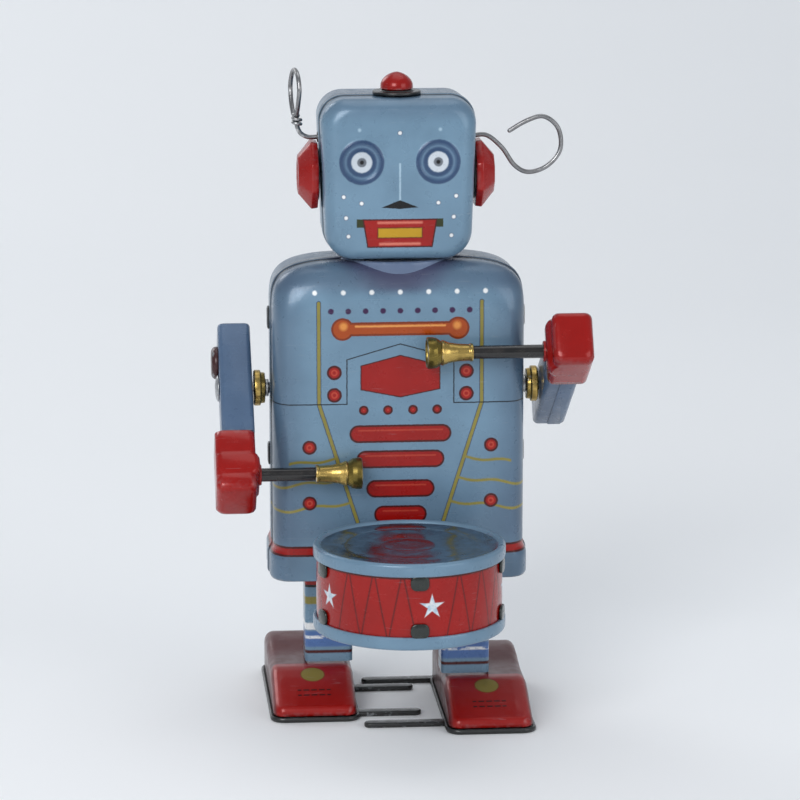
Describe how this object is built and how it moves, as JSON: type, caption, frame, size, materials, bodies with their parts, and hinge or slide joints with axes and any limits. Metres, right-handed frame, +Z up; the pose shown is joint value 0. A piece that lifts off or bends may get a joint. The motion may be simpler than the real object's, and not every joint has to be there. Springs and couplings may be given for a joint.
{
  "type": "tin wind-up robot",
  "caption": "Wind-up tin robot drummer: box head and torso shells, swinging arms with drumsticks, drum at the waist, crank-driven walking feet and a clockwork motor.",
  "frame": {"origin": "centre of the bounding box on the floor under the soles", "axes": "+Z up, the robot faces -Y, its right side at -X"},
  "size_m": [0.08, 0.0874, 0.141],
  "materials": {
    "printed_front": "litho-printed light blue tin with printed dials, bars and rivets",
    "tin_blue": "litho-printed light blue tin, glossy varnish",
    "bare_tin": "bright bare tinplate",
    "tin_red": "red printed tin, glossy",
    "black_steel": "black enamelled steel",
    "steel": "bright steel",
    "drum_red": "red printed tin with lacing and stars",
    "brass": "polished, slightly tarnished",
    "blued_steel": "blued spring steel",
    "leg_print": "light blue printed tin with coloured bands",
    "shoe_red": "red and maroon printed tin, glossy"
  },
  "bodies": {
    "body": {"body_front_shell": "printed_front", "body_back_shell": "tin_blue", "bottom_plate": "bare_tin", "head_front_shell": "printed_front", "head_back_shell": "tin_blue", "neck_collar": "tin_blue", "lamp": "tin_red", "lamp_flange": "black_steel", "right_ear": "tin_red", "left_ear": "tin_red", "right_antenna": "steel", "left_antenna": "steel", "drum_shell": "drum_red", "drum_top_rim": "tin_blue", "drum_bottom_rim": "tin_blue", "drum_head": "bare_tin", "drum_floor": "bare_tin", "drum_bracket": "bare_tin", "motor_front_plate": "brass", "motor_back_plate": "brass", "motor_pillar_1": "steel", "motor_pillar_2": "steel", "motor_pillar_3": "steel", "motor_pillar_4": "steel", "right_crank_bearing": "brass", "left_crank_bearing": "brass", "mainspring": "blued_steel"},
    "crank": {"crankshaft": "steel", "right_crank_arm": "steel", "left_crank_arm": "steel"},
    "walk_train": {"walk_shaft": "steel", "walk_gear": "brass", "contrate_wheel": "brass"},
    "winding_train": {"winding_arbor": "steel", "great_wheel": "brass", "winding_key": "steel"},
    "escape_train": {"escape_shaft": "steel", "escape_wheel": "brass"},
    "pallet": {"pallet_staff": "steel", "pallet_anchor": "steel"},
    "right_arm": {"right_arm_channel": "tin_blue", "right_hand": "tin_red", "right_stick": "black_steel", "right_stick_bell": "brass", "right_shoulder_ferrule": "brass", "right_shoulder_pin": "steel", "right_arm_lever": "steel"},
    "right_foot": {"right_leg": "leg_print", "right_shoe": "shoe_red", "right_sole": "black_steel"},
    "left_arm": {"left_arm_channel": "tin_blue", "left_hand": "tin_red", "left_stick": "black_steel", "left_stick_bell": "brass", "left_shoulder_ferrule": "brass", "left_shoulder_pin": "steel", "left_arm_lever": "steel"},
    "left_foot": {"left_leg": "leg_print", "left_shoe": "shoe_red", "left_sole": "black_steel"}
  },
  "joints": [
    {"name": "crankshaft_turn", "type": "hinge", "parent": "body", "child": "crank", "pos_m": [0, 0.01175, 0.04], "axis": [1, 0, 0], "continuous": true},
    {"name": "right_leg_carry", "type": "hinge", "parent": "crank", "child": "right_foot", "pos_m": [0, 0.01775, 0.04], "axis": [1, 0, 0], "continuous": true},
    {"name": "left_leg_carry", "type": "hinge", "parent": "crank", "child": "left_foot", "pos_m": [0, 0.00575, 0.04], "axis": [1, 0, 0], "continuous": true},
    {"name": "walk_shaft_turn", "type": "hinge", "parent": "body", "child": "walk_train", "pos_m": [0, 0.01175, 0.04], "axis": [0, 1, 0], "continuous": true},
    {"name": "winding_turn", "type": "hinge", "parent": "body", "child": "winding_train", "pos_m": [0, 0.01175, 0.058], "axis": [0, 1, 0], "continuous": true},
    {"name": "escape_turn", "type": "hinge", "parent": "body", "child": "escape_train", "pos_m": [0, 0.01175, 0.073], "axis": [0, 1, 0], "continuous": true},
    {"name": "pallet_rock", "type": "hinge", "parent": "body", "child": "pallet", "pos_m": [0, 0.01175, 0.0822], "axis": [0, 1, 0], "range_deg": [-6, 6]},
    {"name": "right_arm_swing", "type": "hinge", "parent": "body", "child": "right_arm", "pos_m": [0, 0.01175, 0.0713], "axis": [-1, 0, 0], "range_deg": [0, 62]},
    {"name": "left_arm_swing", "type": "hinge", "parent": "body", "child": "left_arm", "pos_m": [0, 0.01175, 0.0713], "axis": [-1, 0, 0], "range_deg": [-62, 0]}
  ],
  "couplings": [
    {"joint": "right_leg_carry", "follows": "crankshaft_turn", "ratio": -1},
    {"joint": "left_leg_carry", "follows": "crankshaft_turn", "ratio": -1},
    {"joint": "walk_shaft_turn", "follows": "crankshaft_turn", "ratio": -0.5},
    {"joint": "winding_turn", "follows": "crankshaft_turn", "ratio": 0.25},
    {"joint": "escape_turn", "follows": "crankshaft_turn", "ratio": -1},
    {"joint": "left_arm_swing", "follows": "right_arm_swing", "ratio": -1}
  ]
}
